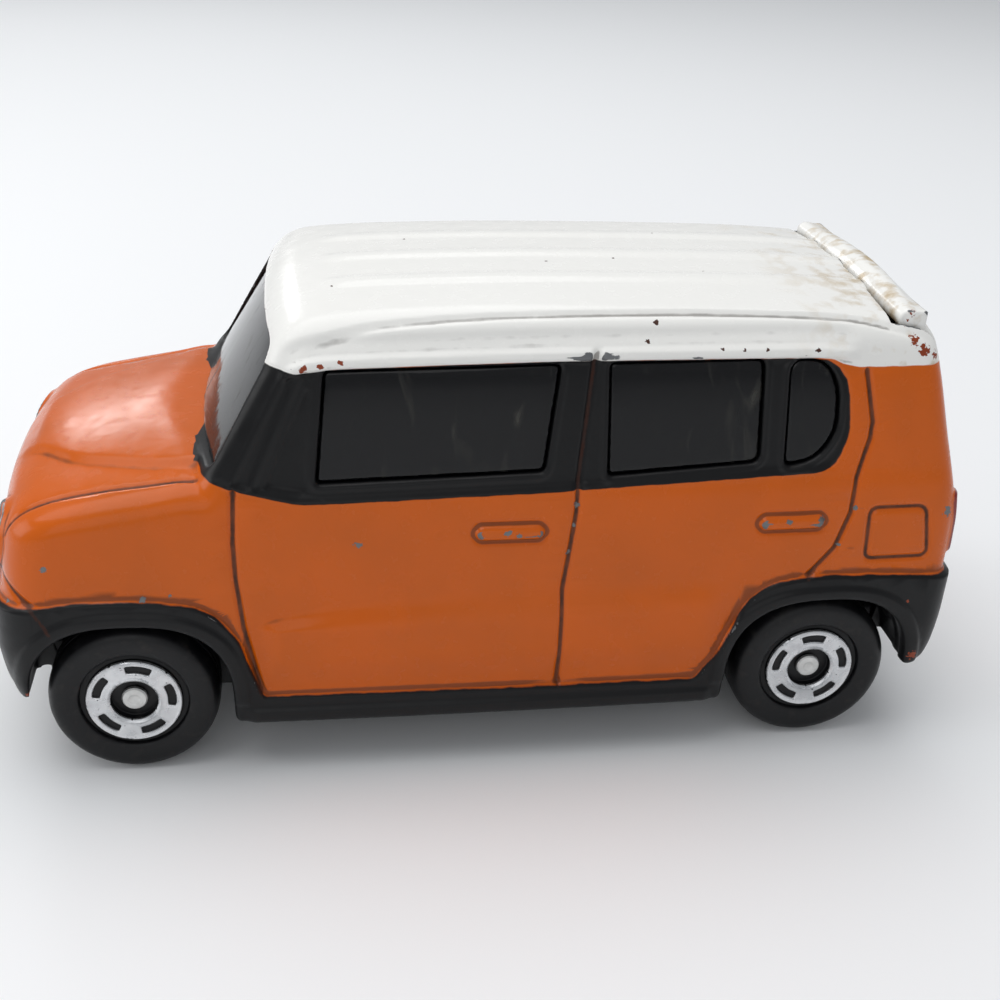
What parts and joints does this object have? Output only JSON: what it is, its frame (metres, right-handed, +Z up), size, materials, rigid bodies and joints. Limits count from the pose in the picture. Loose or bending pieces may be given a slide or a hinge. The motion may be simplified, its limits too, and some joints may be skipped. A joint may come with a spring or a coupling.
{
  "type": "diecast collector car",
  "caption": "Pocket-size diecast model of a tall five-door crossover with lifting tailgate, sprung wire axles and free-rolling wheels.",
  "frame": {"origin": "on the ground under the middle of the car, all four wheels standing on z = 0", "axes": "+X to the front, +Y to the car's left, +Z up"},
  "size_m": [0.0597, 0.026, 0.0291],
  "materials": {
    "orange_paint": "gloss enamel over zinc",
    "white_paint": "gloss enamel over zinc",
    "black_paint": "satin enamel over zinc",
    "silver_paint": "tampo printed silver ink",
    "lamp_red": "tampo printed red ink",
    "smoke_plastic": "clear smoke-tinted moulding",
    "tub_plastic": "moulded satin",
    "base_plastic": "moulded satin",
    "wheel_plastic": "moulded satin",
    "silver_foil": "hot-stamped foil",
    "steel": "bright drawn wire and pressed heads",
    "spring_steel": "rolled strip"
  },
  "bodies": {
    "car": {"body_shell": "orange_paint", "glazing": "smoke_plastic", "interior_tub": "tub_plastic", "base_plate": "base_plastic", "rivet_front": "steel", "rivet_rear": "steel", "front_leaf_spring": "spring_steel", "rear_leaf_spring": "spring_steel"},
    "tailgate": {"tailgate": "orange_paint", "tailgate_glass": "smoke_plastic"},
    "front_axle": {"front_axle": "steel"},
    "rear_axle": {"rear_axle": "steel"},
    "wheel_front_left": {"wheel_front_left": "wheel_plastic"},
    "wheel_front_right": {"wheel_front_right": "wheel_plastic"},
    "wheel_rear_left": {"wheel_rear_left": "wheel_plastic"},
    "wheel_rear_right": {"wheel_rear_right": "wheel_plastic"}
  },
  "joints": [
    {"name": "tailgate_hinge", "type": "hinge", "parent": "car", "child": "tailgate", "pos_m": [-0.02485, 0, 0.02785], "axis": [0, 1, 0], "range_deg": [0, 70]},
    {"name": "front_suspension", "type": "slide", "parent": "car", "child": "front_axle", "axis": [0, 0, 1], "range_m": [0, 0.0006], "stiffness_N_per_m": 300, "springref_m": -0.0012, "deforming": ["front_leaf_spring"]},
    {"name": "rear_suspension", "type": "slide", "parent": "car", "child": "rear_axle", "axis": [0, 0, 1], "range_m": [0, 0.0006], "stiffness_N_per_m": 300, "springref_m": -0.0012, "deforming": ["rear_leaf_spring"]},
    {"name": "wheel_front_left_spin", "type": "hinge", "parent": "front_axle", "child": "wheel_front_left", "pos_m": [0.02125, 0.01055, 0.0051], "axis": [0, 1, 0], "continuous": true},
    {"name": "wheel_front_right_spin", "type": "hinge", "parent": "front_axle", "child": "wheel_front_right", "pos_m": [0.02125, -0.01055, 0.0051], "axis": [0, 1, 0], "continuous": true},
    {"name": "wheel_rear_left_spin", "type": "hinge", "parent": "rear_axle", "child": "wheel_rear_left", "pos_m": [-0.02125, 0.01055, 0.0051], "axis": [0, 1, 0], "continuous": true},
    {"name": "wheel_rear_right_spin", "type": "hinge", "parent": "rear_axle", "child": "wheel_rear_right", "pos_m": [-0.02125, -0.01055, 0.0051], "axis": [0, 1, 0], "continuous": true}
  ]
}
